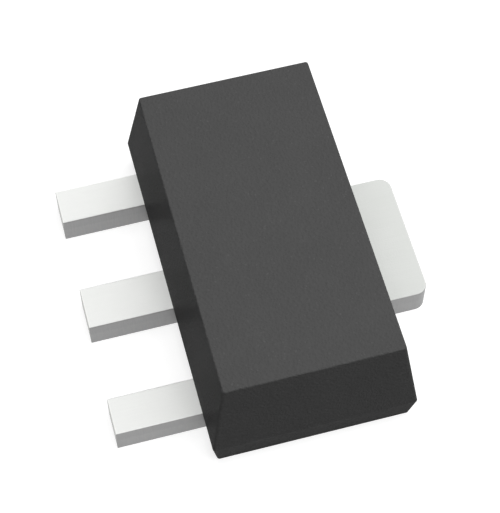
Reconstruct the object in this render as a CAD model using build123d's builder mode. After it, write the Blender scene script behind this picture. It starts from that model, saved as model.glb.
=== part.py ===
from build123d import *
import math
import os

# Surface-mount power transistor in a flat three-lead package.
#
# A copper lead frame carries the die: the collector frame is tab, die pad and centre lead in one
# stamping, and the two outer leads stand apart from it. Bond wires join the die to the outer leads,
# and a block of moulding compound is cast round them all, with every underside left flush.
#
# Frame, millimetres: +Z up from the seating plane, X along the body's length, the leads towards -Y
# and the tab towards +Y. The origin is the centre of the body, on the seating plane.

# ---- driving dimensions ----

# moulded body, its length and width taken at the parting line
body_length = 4.50
body_width = 2.52
body_height = 1.57
draft = 8.5                  # degrees, the walls above and below the parting line
wall_corner_radius = 0.035   # between neighbouring walls
top_edge_radius = 0.02

# lead frame strip; its upper face lies in the parting plane
strip_thickness = 0.40
die_roll = 0.02              # rounding that the stamping leaves on the strip's upper edges
lead_pitch = 1.50
outer_lead_width = 0.48
centre_lead_width = 0.56
lead_projection = 1.06       # tips, from the body's edge
tab_width = 1.73
tab_projection = 0.59        # tab's end, from the body's edge
tab_corner_radius = 0.15

# die pad: the tab's width runs in under the body, then narrows to the centre lead
pad_straight_length = 2.20   # from the tab's end to where it narrows
pad_taper_angle = 45.0       # degrees, between its slanted sides and X
lock_reach = 0.15            # coined ledge that the compound grips, beside the exposed underside
lock_thickness = 0.20
lock_inset = 0.30            # from the body's edge to where the ledge begins

# bond posts on the outer leads, coined thinner so that compound holds them from below
toe_inset = 0.30             # length of each exposed underside inside the body
post_thickness = 0.22
post_length = 0.60
post_width = 0.72

# die and the solder that holds it
die_side = 0.80
die_thickness = 0.22
die_offset = 0.25            # die's centre, from the body's centre towards the tab
solder_thickness = 0.02
solder_margin = 0.03         # fillet of solder that shows round the die

# bond wires
wire_diameter = 0.05
ball_diameter = 0.12
ball_height = 0.03
neck_height = 0.10           # straight rise above the die
loop_height = 0.20           # crest, above the die
stitch_length = 0.12
stitch_width = 0.08
stitch_thickness = 0.015
bond_edge_gap = 0.15         # bond's centre, from the edge of what it sits on
emitter_wire_spacing = 0.24

# ---- places that follow from them ----

body_edge = body_width / 2
lead_tip = -(body_edge + lead_projection)
tab_end = body_edge + tab_projection
taper_start = tab_end - pad_straight_length
taper_run = (tab_width - centre_lead_width) / 2 * math.tan(math.radians(pad_taper_angle))
taper_end = taper_start - taper_run
toe_end = toe_inset - body_edge
post_end = toe_end + post_length
post_inner_edge = lead_pitch - outer_lead_width / 2
solder_top = strip_thickness + solder_thickness
die_top = solder_top + die_thickness

# ---- collector frame: tab, die pad and centre lead ----

with BuildPart() as collector_frame:
    # exposed outline, full strip thickness
    with BuildSketch() as exposed_outline:
        with BuildLine():
            Polyline(
                (0, tab_end),
                (tab_width / 2, tab_end),
                (tab_width / 2, taper_start),
                (centre_lead_width / 2, taper_end),
                (centre_lead_width / 2, lead_tip),
                (0, lead_tip),
            )
            mirror(about=Plane.YZ)
        make_face()
        fillet(exposed_outline.vertices().group_by(Axis.Y)[-1], tab_corner_radius)
    extrude(amount=strip_thickness)

    # ledge left standing proud of the coined underside
    with BuildSketch(Plane.XY.offset(strip_thickness - lock_thickness)):
        with BuildLine():
            Polyline(
                (0, body_edge - lock_inset),
                (tab_width / 2 + lock_reach, body_edge - lock_inset),
                (tab_width / 2 + lock_reach, taper_start),
                (centre_lead_width / 2 + lock_reach, taper_end),
                (0, taper_end),
            )
            mirror(about=Plane.YZ)
        make_face()
    extrude(amount=lock_thickness)
    fillet(collector_frame.faces().sort_by(Axis.Z)[-1].edges(), die_roll)
collector_frame.part.label = "collector_frame"

# ---- outer leads, mirror images of each other ----

outer_leads = {}
for name, side in (("base_lead", -1), ("emitter_lead", 1)):
    with BuildPart() as outer_lead:
        # foot: soldered outside, its underside still showing for a little way inside the body
        with BuildSketch():
            with Locations((side * lead_pitch, (lead_tip + toe_end) / 2)):
                Rectangle(outer_lead_width, toe_end - lead_tip)
        extrude(amount=strip_thickness)

        # bond post, widened away from the die pad
        with BuildSketch(Plane.XY.offset(strip_thickness - post_thickness)):
            with Locations((side * (post_inner_edge + post_width / 2), (toe_end + post_end) / 2)):
                Rectangle(post_width, post_length)
        extrude(amount=post_thickness)
        fillet(outer_lead.faces().sort_by(Axis.Z)[-1].edges(), die_roll)
    outer_lead.part.label = name
    outer_leads[name] = outer_lead.part

# ---- solder layer and die ----

with BuildPart() as die_attach:
    with BuildSketch(Plane.XY.offset(strip_thickness)):
        with Locations((0, die_offset)):
            Rectangle(die_side + 2 * solder_margin, die_side + 2 * solder_margin)
    extrude(amount=solder_thickness)
die_attach.part.label = "die_attach"

with BuildPart() as silicon_die:
    with BuildSketch(Plane.XY.offset(solder_top)):
        with Locations((0, die_offset)):
            Rectangle(die_side, die_side)
    extrude(amount=die_thickness)
silicon_die.part.label = "silicon_die"

# ---- bond wires: ball on the die, loop, stitch on the post ----

die_bond_x = die_side / 2 - bond_edge_gap
post_bond_x = post_inner_edge + post_width / 2
post_bond_y = post_end - bond_edge_gap
wire_ends = {
    "base_wire": ((-die_bond_x, die_offset), (-post_bond_x, post_bond_y)),
    "emitter_wire_1": (
        (die_bond_x, die_offset - emitter_wire_spacing / 2),
        (post_bond_x - emitter_wire_spacing / 2, post_bond_y),
    ),
    "emitter_wire_2": (
        (die_bond_x, die_offset + emitter_wire_spacing / 2),
        (post_bond_x + emitter_wire_spacing / 2, post_bond_y),
    ),
}

wires = {}
for name, (ball, stitch) in wire_ends.items():
    ball_centre = Vector(*ball, die_top)
    stitch_centre = Vector(*stitch, strip_thickness)
    span = Vector(*stitch) - Vector(*ball)
    neck = ball_centre + Vector(0, 0, neck_height)
    crest = ball_centre + Vector(0, 0, loop_height) + span.normalized() * (loop_height - neck_height)
    shoulder = ball_centre + Vector(0, 0, loop_height) + span / 2
    heading = math.degrees(math.atan2(span.Y, span.X))
    with BuildPart() as wire:
        with BuildSketch(Plane(ball_centre)):
            Circle(ball_diameter / 2)
        extrude(amount=ball_height)

        with BuildLine() as loop:
            Polyline(ball_centre, neck, crest, shoulder, stitch_centre)
        with BuildSketch(Plane(ball_centre)):
            Circle(wire_diameter / 2)
        sweep(path=loop.line, transition=Transition.RIGHT)

        with BuildSketch(Plane(stitch_centre)):
            Ellipse(stitch_length / 2, stitch_width / 2, rotation=heading)
        extrude(amount=stitch_thickness)
        split(bisect_by=Plane(stitch_centre), keep=Keep.TOP)
    wire.part.label = name
    wires[name] = wire.part

# ---- moulded body, cast round all the rest ----

with BuildPart() as mould_body:
    with BuildSketch(Plane.XY.offset(strip_thickness)) as parting_outline:
        Rectangle(body_length, body_width)
    extrude(amount=body_height - strip_thickness, taper=draft)
    extrude(parting_outline.sketch, amount=-strip_thickness, taper=draft)
    fillet(mould_body.edges().filter_by(Plane.XY, reverse=True), wall_corner_radius)
    fillet(mould_body.faces().sort_by(Axis.Z)[-1].edges(), top_edge_radius)
    add(collector_frame.part, mode=Mode.SUBTRACT)
    add(outer_leads.values(), mode=Mode.SUBTRACT)
    add([die_attach.part, silicon_die.part], mode=Mode.SUBTRACT)
    add(wires.values(), mode=Mode.SUBTRACT)
mould_body.part.label = "mould_body"

# ---- one file for each piece ----

os.makedirs("parts", exist_ok=True)
export_step(mould_body.part, "parts/mould_body.step")
export_step(collector_frame.part, "parts/collector_frame.step")
export_step(die_attach.part, "parts/die_attach.step")
export_step(silicon_die.part, "parts/silicon_die.step")
for name, piece in (outer_leads | wires).items():
    export_step(piece, f"parts/{name}.step")
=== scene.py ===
import math

import bpy
import numpy as np
from mathutils import Matrix, Vector


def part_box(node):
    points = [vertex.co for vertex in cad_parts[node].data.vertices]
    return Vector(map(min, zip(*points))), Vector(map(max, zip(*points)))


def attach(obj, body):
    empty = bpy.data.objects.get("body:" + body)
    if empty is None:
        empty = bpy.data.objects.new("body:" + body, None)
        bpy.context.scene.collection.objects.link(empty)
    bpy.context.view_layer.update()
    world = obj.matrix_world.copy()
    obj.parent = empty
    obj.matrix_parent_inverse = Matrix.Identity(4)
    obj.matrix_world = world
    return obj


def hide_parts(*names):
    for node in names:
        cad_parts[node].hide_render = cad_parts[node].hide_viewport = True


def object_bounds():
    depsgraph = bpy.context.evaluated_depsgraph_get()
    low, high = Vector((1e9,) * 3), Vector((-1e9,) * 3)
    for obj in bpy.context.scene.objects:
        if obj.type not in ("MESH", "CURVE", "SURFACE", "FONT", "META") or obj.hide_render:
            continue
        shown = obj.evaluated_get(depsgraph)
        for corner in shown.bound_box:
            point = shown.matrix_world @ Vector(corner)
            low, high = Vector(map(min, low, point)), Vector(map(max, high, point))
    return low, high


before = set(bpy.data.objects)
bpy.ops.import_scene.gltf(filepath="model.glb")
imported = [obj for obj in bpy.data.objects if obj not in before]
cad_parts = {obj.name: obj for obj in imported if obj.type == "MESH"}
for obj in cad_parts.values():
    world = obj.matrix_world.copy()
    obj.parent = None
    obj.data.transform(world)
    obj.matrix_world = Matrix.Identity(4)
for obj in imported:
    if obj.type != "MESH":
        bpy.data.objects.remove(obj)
cad_low, cad_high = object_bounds()

# ---- lead frame: collector frame, base lead and emitter lead ----
# Copper alloy strip punched to shape: leads, die pad and tab all lie in one plane. Once the body is
# moulded round it, the bare metal is plated with matte tin and the ends are cut from the carrier.

MM = 0.001  # sizes below are written in millimetres, and Blender's unit here is the metre


def linear(hex_colour):
    """An sRGB hex colour as linear RGBA."""
    shares = [int(hex_colour[i : i + 2], 16) / 255 for i in (1, 3, 5)]
    return (*[s / 12.92 if s <= 0.04045 else ((s + 0.055) / 1.055) ** 2.4 for s in shares], 1.0)


def add(owner, kind, settings, inputs):
    """Adds a shader node to a material or world. settings are the node's own properties. inputs fill
    its sockets, by name or number, with a value or another node's output. Returns outputs by name."""
    tree = owner.node_tree
    node = tree.nodes.new("ShaderNode" + kind)
    for name, value in settings.items():
        setattr(node, name, value)
    sockets = [socket for socket in node.inputs if socket.enabled]
    for key, value in inputs.items():
        socket = sockets[key] if isinstance(key, int) else next(s for s in sockets if s.name == key)
        if isinstance(value, bpy.types.NodeSocket):
            tree.links.new(value, socket)
        else:
            socket.default_value = value
    return {socket.name: socket for socket in node.outputs if socket.enabled}


def new_material(name):
    """A material with an empty node tree."""
    material = bpy.data.materials.new(name)
    material.use_nodes = True
    material.node_tree.nodes.clear()
    return material


def dress(node, material):
    """Puts a material in every slot of a CAD node."""
    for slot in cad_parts[node].material_slots:
        slot.material = material


# Matte tin, electroplated over rolled and punched copper. The rolled faces are a pale, milky satin
# with the mill's fine lines along the strip. The punched walls are streaked from top to bottom,
# smooth where the punch sheared them and torn below, and their grey, much darker than the rolled
# faces, is painted shade. The cut ends, where the carrier was trimmed off, are a little brighter than
# the walls.
lead_tin = "#F7F8F6"
tab_tin_shaded = "#E9EBE8"        # painted shade: the broad tab is a shade darker than the leads
tab_shade_fade = 0.5 * MM  # the one gives way to the other over this length, under the body
# painted shade: these wall greys stand for the light that the upright faces of tin miss
wall_sheared_shade = "#8E8E8E"
wall_torn_shade = "#9E9E9E"
end_trimmed = "#ACACAA"
plating_cloud = 0.30 * MM  # patches of thicker and thinner deposit
tin_grain = 0.02 * MM      # real grains are 0.005 mm; coarser here, so that they show
mill_line = 0.015 * MM
mill_line_stretch = 30     # length of a mill line, in widths
patch_contrast = 0.05      # how much lighter or darker a patch is
lines_in_patches = 0.25    # share of the patches that the mill lines make up
lines_in_relief = 0.5
punch_streak = 0.02 * MM
punch_streak_stretch = 12
streak_contrast = 0.07
tear_height = 0.22 * MM    # the punch tears the strip from its underside up to here
tear_wander = 0.03 * MM
tin_relief_depth = 0.002 * MM
thick_tin_roughness = 0.48
thin_tin_roughness = 0.56
sheared_roughness = 0.45
torn_roughness = 0.62
noise_low = 0.3            # a noise texture seldom leaves the stretch between these two
noise_high = 0.7
# The upright share of a face's normal is over the first of these on a rolled face and under the
# second on a punched wall. Between the two lies the rounding that the punch leaves.
rolled_slope = 0.85
wall_slope = 0.35
# The normal's share along Y is under the first of these on the strip's sides and over the second
# on its cut ends.
side_slope = 0.80
end_slope = 0.95

tin = new_material("matte_tin_plate")
here = add(tin, "TexCoord", {}, {})
normal = add(tin, "SeparateXYZ", {}, {"Vector": here["Normal"]})
spot = add(tin, "SeparateXYZ", {}, {"Vector": here["Object"]})
flatness = add(tin, "Math", {"operation": "ABSOLUTE"}, {0: normal["Z"]})["Value"]
wall = add(
    tin,
    "MapRange",
    {"interpolation_type": "SMOOTHSTEP"},
    {"Value": flatness, "From Min": rolled_slope, "From Max": wall_slope},
)["Result"]
endness = add(tin, "Math", {"operation": "ABSOLUTE"}, {0: normal["Y"]})["Value"]
cut_end = add(
    tin, "MapRange", {}, {"Value": endness, "From Min": side_slope, "From Max": end_slope}
)["Result"]
tabness = add(
    tin, "MapRange", {}, {"Value": spot["Y"], "From Min": -tab_shade_fade, "From Max": tab_shade_fade}
)["Result"]

clouds = add(
    tin, "TexNoise", {}, {"Vector": here["Object"], "Scale": 1 / plating_cloud, "Detail": 2.0}
)["Fac"]
grain = add(
    tin, "TexNoise", {}, {"Vector": here["Object"], "Scale": 1 / tin_grain, "Detail": 1.0}
)["Fac"]
along_strip = add(
    tin,
    "Mapping",
    {},
    {
        "Vector": here["Object"],
        "Scale": (1 / mill_line, 1 / (mill_line * mill_line_stretch), 1 / mill_line),
    },
)["Vector"]
mill_lines = add(tin, "TexNoise", {}, {"Vector": along_strip, "Scale": 1.0, "Detail": 1.0})["Fac"]
up_wall = add(
    tin,
    "Mapping",
    {},
    {
        "Vector": here["Object"],
        "Scale": (1 / punch_streak, 1 / punch_streak, 1 / (punch_streak * punch_streak_stretch)),
    },
)["Vector"]
streaks = add(tin, "TexNoise", {}, {"Vector": up_wall, "Scale": 1.0, "Detail": 2.0})["Fac"]

tear_edge = add(
    tin,
    "MapRange",
    {},
    {"Value": streaks, "To Min": tear_height - tear_wander, "To Max": tear_height + tear_wander},
)["Result"]
above_tear = add(tin, "Math", {"operation": "SUBTRACT"}, {0: spot["Z"], 1: tear_edge})["Value"]
sheared = add(
    tin,
    "MapRange",
    {"interpolation_type": "SMOOTHSTEP"},
    {"Value": above_tear, "From Min": -tear_wander, "From Max": tear_wander},
)["Result"]

# painted shade: lead tin on the leads, fading under the body to the darker tab tone
deposit = add(
    tin,
    "Mix",
    {"data_type": "RGBA"},
    {"Factor": tabness, "A": linear(lead_tin), "B": linear(tab_tin_shaded)},
)["Result"]
patchiness = add(
    tin, "Mix", {"data_type": "FLOAT"}, {"Factor": lines_in_patches, "A": clouds, "B": mill_lines}
)["Result"]
patch_shade = add(
    tin,
    "MapRange",
    {},
    {"Value": patchiness, "To Min": 1 - patch_contrast, "To Max": 1 + patch_contrast},
)["Result"]
rolled_colour = add(
    tin, "VectorMath", {"operation": "SCALE"}, {"Vector": deposit, "Scale": patch_shade}
)["Vector"]

shaded_wall_tone = add(
    tin,
    "Mix",
    {"data_type": "RGBA"},
    {"Factor": sheared, "A": linear(wall_torn_shade), "B": linear(wall_sheared_shade)},
)["Result"]
side_tone = add(
    tin, "Mix", {"data_type": "RGBA"}, {"Factor": cut_end, "A": shaded_wall_tone, "B": linear(end_trimmed)}
)["Result"]
streak_shade = add(
    tin, "MapRange", {}, {"Value": streaks, "To Min": 1 - streak_contrast, "To Max": 1 + streak_contrast}
)["Result"]
side_colour = add(
    tin, "VectorMath", {"operation": "SCALE"}, {"Vector": side_tone, "Scale": streak_shade}
)["Vector"]
tin_colour = add(
    tin, "Mix", {"data_type": "RGBA"}, {"Factor": wall, "A": rolled_colour, "B": side_colour}
)["Result"]

rolled_roughness = add(
    tin,
    "MapRange",
    {},
    {
        "Value": clouds,
        "From Min": noise_low,
        "From Max": noise_high,
        "To Min": thick_tin_roughness,
        "To Max": thin_tin_roughness,
    },
)["Result"]
wall_roughness = add(
    tin, "MapRange", {}, {"Value": sheared, "To Min": torn_roughness, "To Max": sheared_roughness}
)["Result"]
tin_roughness = add(
    tin, "Mix", {"data_type": "FLOAT"}, {"Factor": wall, "A": rolled_roughness, "B": wall_roughness}
)["Result"]
rolled_relief = add(
    tin, "Mix", {"data_type": "FLOAT"}, {"Factor": lines_in_relief, "A": grain, "B": mill_lines}
)["Result"]
tin_relief = add(
    tin, "Mix", {"data_type": "FLOAT"}, {"Factor": wall, "A": rolled_relief, "B": streaks}
)["Result"]
tin_bump = add(
    tin, "Bump", {}, {"Height": tin_relief, "Strength": 1.0, "Distance": tin_relief_depth}
)["Normal"]
shader = add(
    tin,
    "BsdfPrincipled",
    {},
    {"Base Color": tin_colour, "Metallic": 1.0, "Roughness": tin_roughness, "Normal": tin_bump},
)
add(tin, "OutputMaterial", {}, {"Surface": shader["BSDF"]})
for node in ("collector_frame", "base_lead", "emitter_lead"):
    dress(node, tin)

# ---- die solder ----
# High-lead soft solder. The die is pressed down into a molten drop of it on the die pad, and a
# narrow fillet freezes all round the die's foot.

# Lead-rich solder as it froze: dull blue-grey and frosted, its crystals at different tilts. Each is
# painted a little lighter or darker than its neighbours, as painted glints for the light it catches.
solder_dull = "#B9BBBE"
solder_painted_glint = "#CFD0D2"
solder_smoothest = 0.38    # roughness, from crystal to crystal
solder_roughest = 0.60
crystal = 0.04 * MM
crystal_relief = 0.003 * MM

solder = new_material("frosted_lead_solder")
here = add(solder, "TexCoord", {}, {})
crystals = add(solder, "TexVoronoi", {}, {"Vector": here["Object"], "Scale": 1 / crystal})
tilt = add(solder, "SeparateColor", {}, {"Color": crystals["Color"]})
# painted glints: each crystal's shade stands in for the light that its tilt catches
solder_colour = add(
    solder,
    "Mix",
    {"data_type": "RGBA"},
    {"Factor": tilt["Red"], "A": linear(solder_dull), "B": linear(solder_painted_glint)},
)["Result"]
solder_roughness = add(
    solder, "MapRange", {}, {"Value": tilt["Green"], "To Min": solder_smoothest, "To Max": solder_roughest}
)["Result"]
solder_bump = add(
    solder, "Bump", {}, {"Height": crystals["Distance"], "Strength": 1.0, "Distance": crystal_relief}
)["Normal"]
shader = add(
    solder,
    "BsdfPrincipled",
    {},
    {
        "Base Color": solder_colour,
        "Metallic": 1.0,
        "Roughness": solder_roughness,
        "Normal": solder_bump,
    },
)
add(solder, "OutputMaterial", {}, {"Surface": shader["BSDF"]})
dress("die_attach", solder)

# ---- silicon die ----
# The transistor itself, diffused into a silicon wafer and sawn out of it. Base and emitter contacts
# are on its top, and its whole underside is the collector, soldered to the die pad.

# Polished silicon under sputtered aluminium. The aluminium forms two interlocking combs, base and
# emitter, parted by a thin dark gap of oxide. Outside them runs a rim of oxide and then a bare
# street, which the saw follows. The sawn sides are grey and scored along the cut.
silicon_polished = "#85878F"
silicon_sawn = "#94969C"
oxide_film = "#5A5068"     # clear, but thin enough to take on a colour
aluminium = "#DADBDD"
finger_width = 0.05 * MM
finger_reach = 0.15 * MM   # the fingers run from this far one side of the middle to as far the other
comb_gap = 0.01 * MM
street_width = 0.03 * MM
rim_width = 0.03 * MM
saw_line = 0.01 * MM       # real score lines are 0.002 mm; coarser here, so that they show
saw_line_stretch = 20
saw_line_contrast = 0.15
saw_line_depth = 0.001 * MM
polished_roughness = 0.12
aluminium_roughness = 0.35
sawn_roughness = 0.50
top_slope = 0.5            # the normal's upright share is over this on the die's top alone
die_low, die_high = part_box("silicon_die")
die_centre = (die_low + die_high) / 2
die_half_side = (die_high.x - die_low.x) / 2

die = new_material("metallised_silicon")
here = add(die, "TexCoord", {}, {})
normal = add(die, "SeparateXYZ", {}, {"Vector": here["Normal"]})
on_top = add(die, "Math", {"operation": "GREATER_THAN"}, {0: normal["Z"], 1: top_slope})["Value"]
from_centre = add(
    die, "Mapping", {"vector_type": "TEXTURE"}, {"Vector": here["Object"], "Location": die_centre}
)["Vector"]
place = add(die, "SeparateXYZ", {}, {"Vector": from_centre})

# How far inside the emitter's comb a point lies, less than 0 in the base's: the fingers alternate
# between finger_reach each side of the middle, and past that each comb is one broad bar.
finger = add(die, "Math", {"operation": "PINGPONG"}, {0: place["Y"], 1: finger_width})["Value"]
in_finger = add(die, "Math", {"operation": "SUBTRACT"}, {0: finger, 1: finger_width / 2})["Value"]
past_base_bar = add(die, "Math", {"operation": "ADD"}, {0: place["X"], 1: finger_reach})["Value"]
in_finger = add(die, "Math", {"operation": "MINIMUM"}, {0: in_finger, 1: past_base_bar})["Value"]
in_bar = add(die, "Math", {"operation": "SUBTRACT"}, {0: place["X"], 1: finger_reach})["Value"]
in_emitter = add(die, "Math", {"operation": "MAXIMUM"}, {0: in_finger, 1: in_bar})["Value"]
from_gap = add(die, "Math", {"operation": "ABSOLUTE"}, {0: in_emitter})["Value"]
comb = add(die, "Math", {"operation": "GREATER_THAN"}, {0: from_gap, 1: comb_gap / 2})["Value"]

across = add(die, "Math", {"operation": "ABSOLUTE"}, {0: place["X"]})["Value"]
along = add(die, "Math", {"operation": "ABSOLUTE"}, {0: place["Y"]})["Value"]
outward = add(die, "Math", {"operation": "MAXIMUM"}, {0: across, 1: along})["Value"]
inside_street = add(
    die, "Math", {"operation": "LESS_THAN"}, {0: outward, 1: die_half_side - street_width}
)["Value"]
inside_rim = add(
    die, "Math", {"operation": "LESS_THAN"}, {0: outward, 1: die_half_side - street_width - rim_width}
)["Value"]
metal = add(die, "Math", {"operation": "MULTIPLY"}, {0: comb, 1: inside_rim})["Value"]
metal = add(die, "Math", {"operation": "MULTIPLY"}, {0: metal, 1: on_top})["Value"]

along_cut = add(
    die,
    "Mapping",
    {},
    {
        "Vector": here["Object"],
        "Scale": (1 / (saw_line * saw_line_stretch), 1 / (saw_line * saw_line_stretch), 1 / saw_line),
    },
)["Vector"]
score = add(die, "TexNoise", {}, {"Vector": along_cut, "Scale": 1.0, "Detail": 2.0})["Fac"]
score_shade = add(
    die, "MapRange", {}, {"Value": score, "To Min": 1 - saw_line_contrast, "To Max": 1 + saw_line_contrast}
)["Result"]
sawn_colour = add(
    die, "VectorMath", {"operation": "SCALE"}, {"Vector": linear(silicon_sawn)[:3], "Scale": score_shade}
)["Vector"]
top_colour = add(
    die,
    "Mix",
    {"data_type": "RGBA"},
    {"Factor": inside_street, "A": linear(silicon_polished), "B": linear(oxide_film)},
)["Result"]
top_colour = add(
    die, "Mix", {"data_type": "RGBA"}, {"Factor": metal, "A": top_colour, "B": linear(aluminium)}
)["Result"]
die_colour = add(
    die, "Mix", {"data_type": "RGBA"}, {"Factor": on_top, "A": sawn_colour, "B": top_colour}
)["Result"]
top_roughness = add(
    die, "MapRange", {}, {"Value": metal, "To Min": polished_roughness, "To Max": aluminium_roughness}
)["Result"]
die_roughness = add(
    die, "Mix", {"data_type": "FLOAT"}, {"Factor": on_top, "A": sawn_roughness, "B": top_roughness}
)["Result"]
sides_only = add(die, "Math", {"operation": "SUBTRACT"}, {0: 1.0, 1: on_top})["Value"]
scoring = add(die, "Math", {"operation": "MULTIPLY"}, {0: score, 1: sides_only})["Value"]
die_bump = add(
    die, "Bump", {}, {"Height": scoring, "Strength": 1.0, "Distance": saw_line_depth}
)["Normal"]
shader = add(
    die,
    "BsdfPrincipled",
    {},
    {
        "Base Color": die_colour,
        "Metallic": metal,
        "Roughness": die_roughness,
        "Normal": die_bump,
    },
)
add(die, "OutputMaterial", {}, {"Surface": shader["BSDF"]})
dress("silicon_die", die)

# ---- bond wires: one to the base lead, two to the emitter lead ----
# Gold wire, drawn to 0.05 mm. A spark melts its end to a ball, which is pressed on the die's
# aluminium. The wire loops over, and its other end is crushed flat on the lead's bond post.

wire_radius = 0.025 * MM
ball_radius = 0.06 * MM
ball_height = 0.03 * MM
neck_height = 0.10 * MM          # rise above the die, to where the wire leans over
loop_height = 0.20 * MM          # level top of the loop, above the die
stitch_length = 0.12 * MM
stitch_half_width = 0.04 * MM
stitch_half_thickness = 0.0075 * MM
bend_reach = 0.05 * MM           # how far from its corner each bend begins
shoulder_reach = 0.25 * MM       # the same, where the loop starts down to the post
bond_edge_gap = 0.15 * MM        # bond's centre, from the edge of what it sits on
emitter_wire_spacing = 0.24 * MM
post_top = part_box("base_lead")[1].z
wire_facets = 24
bend_steps = 13
ball_rings = 15
loop_rings = 90
stitch_rings = 17
toe_sharpness = 0.98             # 1 would bring the stitch's toe to a point
crease_angle = math.radians(50)  # the ball's foot and the wire's ends stay crisp


def bonded_wire(name, ball, stitch):
    """One wire from a ball's underside to a stitch's middle: an ellipse carried along a centre line.

    The centre line runs straight up from the ball, leans over, levels out, comes down and lies along
    the post. Each bend is a parabola, (1-t)(1-t) before + 2t(1-t) corner + t t after. The ellipse's half
    axes are the wire's radius, swollen to the ball by the fourth root of 1 - x to the fourth over
    the ball's height, and eased to the stitch's half width and half thickness by x x (3 - 2x)."""
    up = np.array((0.0, 0.0, 1.0))
    span = (stitch - ball) * (1, 1, 0)
    heading = span / np.linalg.norm(span)
    aside = np.cross(up, heading)
    half_stitch = heading * stitch_length / 2
    corners = np.array([
        ball + up * neck_height,
        ball + up * loop_height + heading * (loop_height - neck_height),
        ball + up * loop_height + span / 2,
        stitch - half_stitch,
    ])
    runs = np.diff(np.vstack([ball, corners, stitch + half_stitch]), axis=0)
    runs /= np.linalg.norm(runs, axis=1, keepdims=True)
    reach = np.array((bend_reach, bend_reach, shoulder_reach, bend_reach))[:, None]
    before, after = corners - runs[:-1] * reach, corners + runs[1:] * reach
    t = np.linspace(0, 1, bend_steps)[:, None]
    bends = (1 - t) ** 2 * before[:, None] + 2 * t * (1 - t) * corners[:, None] + t**2 * after[:, None]
    line = np.vstack([ball, bends.reshape(-1, 3), stitch + half_stitch])
    reached = np.append(0, np.cumsum(np.linalg.norm(np.diff(line, axis=0), axis=1)))
    stitch_start = reached[-1] - stitch_length

    along = np.concatenate([
        ball_height * (1 - np.cos(np.linspace(0, np.pi, ball_rings))) / 2,
        np.linspace(ball_height, stitch_start, loop_rings)[1:],
        np.linspace(stitch_start, reached[-1], stitch_rings)[1:],
    ])
    bulge = (1 - np.clip(2 * along / ball_height - 1, -1, 1) ** 4) ** 0.25
    pressed = np.clip((along - stitch_start) / stitch_length, 0, 1)
    flat = np.minimum(2 * pressed, 1)
    flat = flat**2 * (3 - 2 * flat)
    rounded_toe = np.sqrt(1 - toe_sharpness * np.clip(2 * pressed - 1, 0, 1) ** 2)
    swollen = wire_radius + (ball_radius - wire_radius) * bulge
    half_width = (swollen + (stitch_half_width - wire_radius) * flat) * rounded_toe
    half_thickness = swollen + (stitch_half_thickness - wire_radius) * flat

    centre = np.column_stack([np.interp(along, reached, line[:, axis]) for axis in range(3)])
    centre[:, 2] = np.maximum(centre[:, 2], post_top + half_thickness)
    tangent = np.gradient(centre, axis=0)
    over = np.cross(tangent / np.linalg.norm(tangent, axis=1, keepdims=True), aside)
    turn = np.linspace(0, 2 * np.pi, wire_facets, endpoint=False)
    sideways = half_width[:, None] * np.cos(turn)
    upward = half_thickness[:, None] * np.sin(turn)
    skin = centre[:, None] + sideways[..., None] * aside + upward[..., None] * over[:, None]

    rings = np.arange(len(along) * wire_facets).reshape(-1, wire_facets)
    beside = np.roll(rings, -1, axis=1)
    quads = np.stack([rings[:-1], beside[:-1], beside[1:], rings[1:]], axis=-1).reshape(-1, 4)
    ends = [rings[0, ::-1].tolist(), rings[-1].tolist()]
    mesh = bpy.data.meshes.new(name)
    mesh.from_pydata(skin.reshape(-1, 3).tolist(), [], quads.tolist() + ends)
    mesh.shade_smooth()
    mesh.set_sharp_from_angle(angle=crease_angle)
    lay = np.stack([np.broadcast_to(along[:, None], sideways.shape), sideways, upward], axis=-1)
    mesh.attributes.new("wire_lay", "FLOAT_VECTOR", "POINT").data.foreach_set("vector", lay.ravel())
    wire = bpy.data.objects.new(name, mesh)
    bpy.context.collection.objects.link(wire)
    return wire


# Drawn gold: a rich yellow metal with a satin skin and fine lines along the wire, where the drawing
# die dragged. The crushed stitch is burnished by the tool that pressed it.
gold_skin = "#F3D389"
gold_dragged = "#E4BE6E"
drag_line = 0.008 * MM       # real ones are 0.002 mm; coarser here, so that they show
drag_line_stretch = 25
drag_depth = 0.0006 * MM
burnish_height = 0.03 * MM   # above the post, to which the tool leaves its shine
burnished_roughness = 0.14
drawn_roughness = 0.30

gold = new_material("drawn_gold")
lay = add(gold, "Attribute", {"attribute_name": "wire_lay"}, {})["Vector"]
along_wire = add(
    gold,
    "Mapping",
    {},
    {"Vector": lay, "Scale": (1 / (drag_line * drag_line_stretch), 1 / drag_line, 1 / drag_line)},
)["Vector"]
drag_lines = add(gold, "TexNoise", {}, {"Vector": along_wire, "Scale": 1.0, "Detail": 2.0})["Fac"]
gold_colour = add(
    gold,
    "Mix",
    {"data_type": "RGBA"},
    {"Factor": drag_lines, "A": linear(gold_skin), "B": linear(gold_dragged)},
)["Result"]
here = add(gold, "TexCoord", {}, {})
height = add(gold, "SeparateXYZ", {}, {"Vector": here["Object"]})["Z"]
gold_roughness = add(
    gold,
    "MapRange",
    {"interpolation_type": "SMOOTHSTEP"},
    {
        "Value": height,
        "From Min": post_top,
        "From Max": post_top + burnish_height,
        "To Min": burnished_roughness,
        "To Max": drawn_roughness,
    },
)["Result"]
gold_bump = add(
    gold, "Bump", {}, {"Height": drag_lines, "Strength": 1.0, "Distance": drag_depth}
)["Normal"]
shader = add(
    gold,
    "BsdfPrincipled",
    {},
    {
        "Base Color": gold_colour,
        "Metallic": 1.0,
        "Roughness": gold_roughness,
        "Normal": gold_bump,
    },
)
add(gold, "OutputMaterial", {}, {"Surface": shader["BSDF"]})

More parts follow.
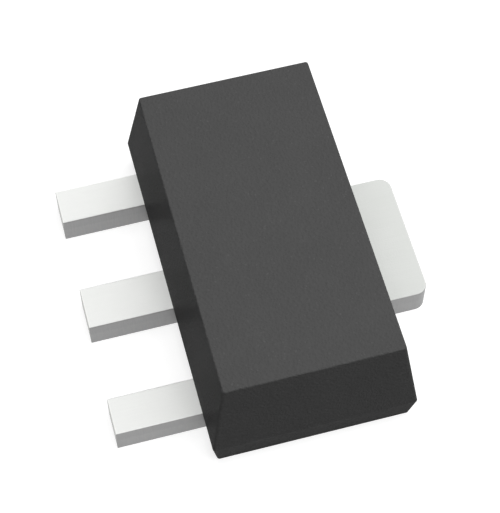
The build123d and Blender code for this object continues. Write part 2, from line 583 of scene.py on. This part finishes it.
for side, lead, node, offset in (
    (-1, "base_lead", "base_wire", 0.0),
    (1, "emitter_lead", "emitter_wire_1", -emitter_wire_spacing / 2),
    (1, "emitter_lead", "emitter_wire_2", emitter_wire_spacing / 2),
):
    lead_low, lead_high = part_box(lead)
    ball = np.array((side * (die_half_side - bond_edge_gap), die_centre.y + offset, die_high.z))
    post_middle = (lead_low.x + lead_high.x) / 2
    stitch = np.array((post_middle + offset, lead_high.y - bond_edge_gap, lead_high.z))
    wire = bonded_wire(node + "_loop", ball, stitch)
    wire.data.materials.append(gold)
    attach(wire, "root")
    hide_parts(node)

# ---- moulded body ----
# Epoxy moulding compound, four fifths fused silica, pressed hot round the lead frame in a two-part
# steel mould. The mould's faces are drafted and spark-eroded, so that the block lets go cleanly.

# Epoxy off a spark-eroded mould: dark grey, covered in shallow overlapping craters whose floors are
# painted a shade darker (painted shade in the pits), with faint paler specks where silica grains lie
# near the skin. A fine witness line runs where the mould's halves met. Seen steeply it is matt, and
# only at a low angle does it gleam and mirror the leads.
compound = "#545454"
# painted shade: the crater floors a little darker than the rims between them
crater_floor_shade = "#515151"
silica = "#666666"
epoxy_roughness = 0.20
epoxy_ior = 1.015          # far under the resin's own 1.5, because the craters scatter nearly all
spark_crater = 0.035 * MM
crater_depth = 0.008 * MM
flow_cloud = 0.45 * MM     # patches richer and poorer in filler
cloud_contrast = 0.06
silica_grain = 0.03 * MM
grain_core = 0.28          # a speck is solid out to this share of a grain, and gone by the next
grain_edge = 0.42
silica_share = 0.14        # of the grains, those that lie near enough to the skin to show
silica_strength = 0.4
witness_half_width = 0.008 * MM
parting_z = post_top       # the mould closes on the strip's upper face

epoxy = new_material("spark_eroded_epoxy")
here = add(epoxy, "TexCoord", {}, {})
wobble = add(
    epoxy, "TexNoise", {}, {"Vector": here["Object"], "Scale": 1 / spark_crater, "Detail": 1.0}
)["Color"]
wobble = add(
    epoxy, "VectorMath", {"operation": "SCALE"}, {"Vector": wobble, "Scale": spark_crater}
)["Vector"]
uneven = add(epoxy, "VectorMath", {"operation": "ADD"}, {0: here["Object"], 1: wobble})["Vector"]
craters = add(epoxy, "TexVoronoi", {}, {"Vector": uneven, "Scale": 1 / spark_crater})["Distance"]
clouds = add(
    epoxy, "TexNoise", {}, {"Vector": here["Object"], "Scale": 1 / flow_cloud, "Detail": 2.0}
)["Fac"]

grains = add(epoxy, "TexVoronoi", {}, {"Vector": uneven, "Scale": 1 / silica_grain})
grain_body = add(
    epoxy, "MapRange", {}, {"Value": grains["Distance"], "From Min": grain_edge, "From Max": grain_core}
)["Result"]
grain_lot = add(epoxy, "SeparateColor", {}, {"Color": grains["Color"]})["Red"]
grain_shows = add(
    epoxy,
    "MapRange",
    {},
    {"Value": grain_lot, "From Max": silica_share, "To Min": silica_strength, "To Max": 0.0},
)["Result"]
specks = add(epoxy, "Math", {"operation": "MULTIPLY"}, {0: grain_body, 1: grain_shows})["Value"]

height = add(epoxy, "SeparateXYZ", {}, {"Vector": here["Object"]})["Z"]
above_parting = add(epoxy, "Math", {"operation": "SUBTRACT"}, {0: height, 1: parting_z})["Value"]
from_parting = add(epoxy, "Math", {"operation": "ABSOLUTE"}, {0: above_parting})["Value"]
witness = add(
    epoxy, "MapRange", {}, {"Value": from_parting, "From Min": witness_half_width, "From Max": 0.0}
)["Result"]
cloud_shade = add(
    epoxy, "MapRange", {}, {"Value": clouds, "To Min": 1 - cloud_contrast, "To Max": 1 + cloud_contrast}
)["Result"]

skin = add(
    epoxy,
    "Mix",
    {"data_type": "RGBA"},
    {"Factor": craters, "A": linear(crater_floor_shade), "B": linear(compound)},
)["Result"]
skin = add(
    epoxy, "Mix", {"data_type": "RGBA"}, {"Factor": specks, "A": skin, "B": linear(silica)}
)["Result"]
epoxy_colour = add(
    epoxy, "VectorMath", {"operation": "SCALE"}, {"Vector": skin, "Scale": cloud_shade}
)["Vector"]
relief = add(epoxy, "Math", {"operation": "ADD"}, {0: craters, 1: witness})["Value"]
epoxy_bump = add(
    epoxy, "Bump", {}, {"Height": relief, "Strength": 1.0, "Distance": crater_depth}
)["Normal"]
shader = add(
    epoxy,
    "BsdfPrincipled",
    {},
    {
        "Base Color": epoxy_colour,
        "Roughness": epoxy_roughness,
        "IOR": epoxy_ior,
        "Normal": epoxy_bump,
    },
)
add(epoxy, "OutputMaterial", {}, {"Surface": shader["BSDF"]})
dress("mould_body", epoxy)

# ---- floor ----
# A round sheet of matt white card that the part stands on. It fills the view from any steep angle, and
# seen low down its edge runs out into the white surroundings.

card_radius = 24 * MM
card_sides = 96
turn = np.linspace(0, 2 * np.pi, card_sides, endpoint=False)
edge = card_radius * np.column_stack([np.cos(turn), np.sin(turn), np.zeros(card_sides)])
card_mesh = bpy.data.meshes.new("floor")
card_mesh.from_pydata(edge.tolist(), [], [range(card_sides)])
floor = bpy.data.objects.new("floor", card_mesh)
bpy.context.collection.objects.link(floor)


def shows_background(owner):
    """1 for a ray that shows the surroundings, straight, mirrored or through glass, and 0 for one that
    carries their light to the object."""
    rays = add(owner, "LightPath", {}, {})
    shown = rays["Is Camera Ray"]
    for kind in ("Is Glossy Ray", "Is Transmission Ray"):
        shown = add(owner, "Math", {"operation": "MAXIMUM"}, {0: shown, 1: rays[kind]})["Value"]
    return shown


# Matt white card. It shows as plain white, with the object's soft shadow on it, and it throws back
# about half of the light that it gets, so that the undersides aren't too bright.
card_grey = "#BCBCBC"
card_whiteness = 0.74      # what brings the lit card up to white

card = new_material("matt_white_card")
diffuse = add(card, "BsdfDiffuse", {}, {"Color": linear(card_grey)})["BSDF"]
whitening = add(
    card, "Math", {"operation": "MULTIPLY"}, {0: shows_background(card), 1: card_whiteness}
)["Value"]
glow = add(card, "Emission", {}, {"Strength": whitening})["Emission"]
lit_card = add(card, "AddShader", {}, {0: diffuse, 1: glow})["Shader"]
add(card, "OutputMaterial", {}, {"Surface": lit_card})
card_mesh.materials.append(card)

# ---- light ----
# A dim white studio with one large round softbox overhead, set back over the tab, so that the top is
# the lightest face and the leads' side is the darkest.

room_level = 0.075
lamp_level = 2.85
lamp_radius = 45 * MM
lamp_place = Vector((2, 25, 60)) * MM

room = bpy.data.worlds.new("studio")
room.use_nodes = True
room.node_tree.nodes.clear()
level = add(room, "MapRange", {}, {"Value": shows_background(room), "To Min": room_level})["Result"]
walls = add(room, "Background", {}, {"Color": linear("#FFFFFF"), "Strength": level})["Background"]
add(room, "OutputWorld", {}, {"Surface": walls})
bpy.context.scene.world = room

lamp = bpy.data.lights.new("softbox", "AREA")
lamp.shape = "DISK"
lamp.size = 2 * lamp_radius
lamp.energy = lamp_level * math.pi**2 * lamp_radius**2
softbox = bpy.data.objects.new("softbox", lamp)
softbox.location = lamp_place
softbox.visible_glossy = False  # the tin mirrors the white room instead
bpy.context.collection.objects.link(softbox)

# ---- camera ----
# A long lens, looking steeply down on the emitter end from a little to the leads' side. It is aimed
# just beside the middle of the part.

azimuth = math.radians(74.87)  # 0 looks along +Y
elevation = math.radians(60.55)
roll = math.radians(0.16)
distance = 21.086 * MM         # to the point that the camera is aimed at
beside_middle = Vector((0.026, 0.016, 0)) * MM
sensor_width = 36              # this and the next are in millimetres, as Blender has them
focal_length = 120.94
nearest_seen = 1 * MM
farthest_seen = 1000 * MM
aim = (cad_low + cad_high) / 2 + beside_middle

lens = bpy.data.cameras.new("camera")
lens.sensor_width = sensor_width
lens.lens = focal_length
lens.clip_start = nearest_seen
lens.clip_end = farthest_seen
camera = bpy.data.objects.new("camera", lens)
towards_camera = Vector((
    math.sin(azimuth) * math.cos(elevation),
    -math.cos(azimuth) * math.cos(elevation),
    math.sin(elevation),
))
camera.location = aim + towards_camera * distance
turned = (-towards_camera).to_track_quat("-Z", "Y").to_matrix() @ Matrix.Rotation(roll, 3, "Z")
camera.rotation_euler = turned.to_euler()
bpy.context.collection.objects.link(camera)
bpy.context.scene.camera = camera
bpy.context.scene.view_settings.view_transform = "Standard"
